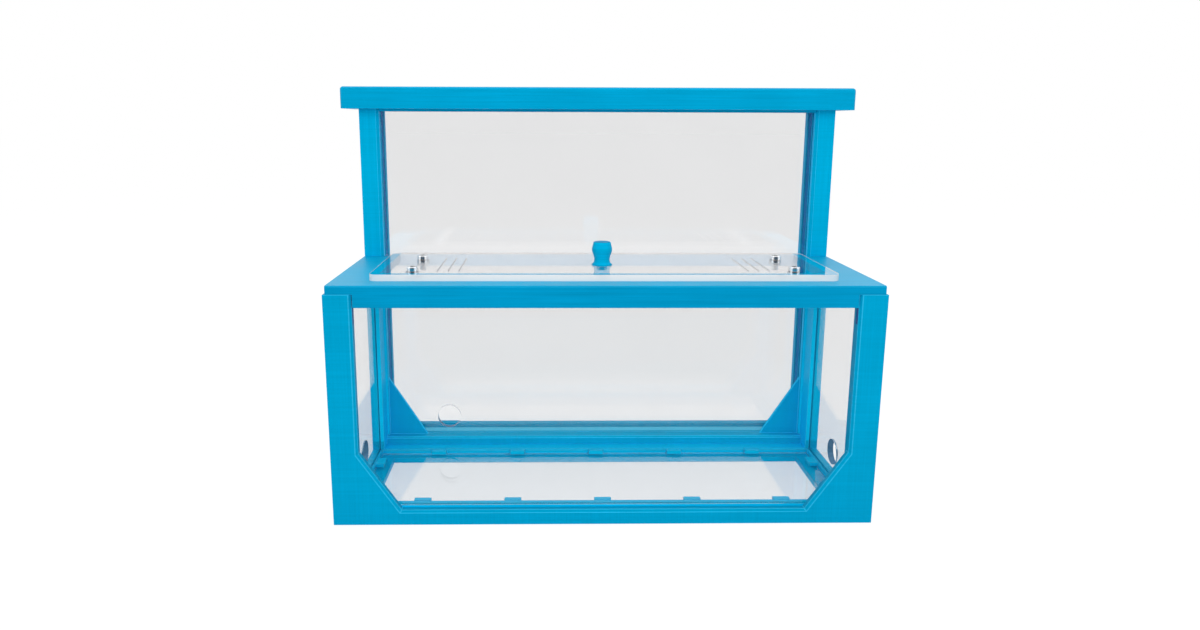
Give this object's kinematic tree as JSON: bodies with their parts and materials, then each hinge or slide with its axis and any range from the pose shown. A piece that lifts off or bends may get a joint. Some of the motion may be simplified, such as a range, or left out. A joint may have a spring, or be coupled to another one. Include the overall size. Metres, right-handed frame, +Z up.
{
  "type": "ant farm",
  "caption": "Table-top ant farm: a clear foraging tank with a lift-off lid in front of a tall thin nest with a lift-off cap, held in printed frames.",
  "frame": {"origin": "centre of the footprint of the whole object, on the table", "axes": "+X to the right seen from the front, +Y from the front to the back, +Z up"},
  "size_m": [0.263, 0.107, 0.201],
  "materials": {
    "printed_plastic": "satin 3-D printed plastic with fine layer lines",
    "clear_acrylic": "polished clear acrylic sheet",
    "plated_steel": "bright plated steel"
  },
  "bodies": {
    "stand": {"base_frame": "printed_plastic", "front_frame": "printed_plastic", "top_frame": "printed_plastic", "nest_front_frame": "printed_plastic", "nest_back_frame": "printed_plastic", "left_nest_spacer": "printed_plastic", "right_nest_spacer": "printed_plastic", "nest_floor_spacer": "printed_plastic", "floor_panel": "clear_acrylic", "front_panel": "clear_acrylic", "left_side_panel": "clear_acrylic", "right_side_panel": "clear_acrylic", "nest_front_panel": "clear_acrylic", "nest_back_panel": "clear_acrylic", "rear_top_strip": "clear_acrylic"},
    "lid": {"lid": "clear_acrylic", "lid_knob": "printed_plastic", "knob_screw": "plated_steel", "lid_screws": "plated_steel", "lid_nuts": "plated_steel"},
    "cap": {"cap": "printed_plastic"}
  },
  "joints": [
    {"name": "lid_lift", "type": "slide", "parent": "stand", "child": "lid", "axis": [0, 0, 1], "range_m": [0, 0.06]},
    {"name": "cap_lift", "type": "slide", "parent": "stand", "child": "cap", "axis": [0, 0, 1], "range_m": [0, 0.04]}
  ]
}
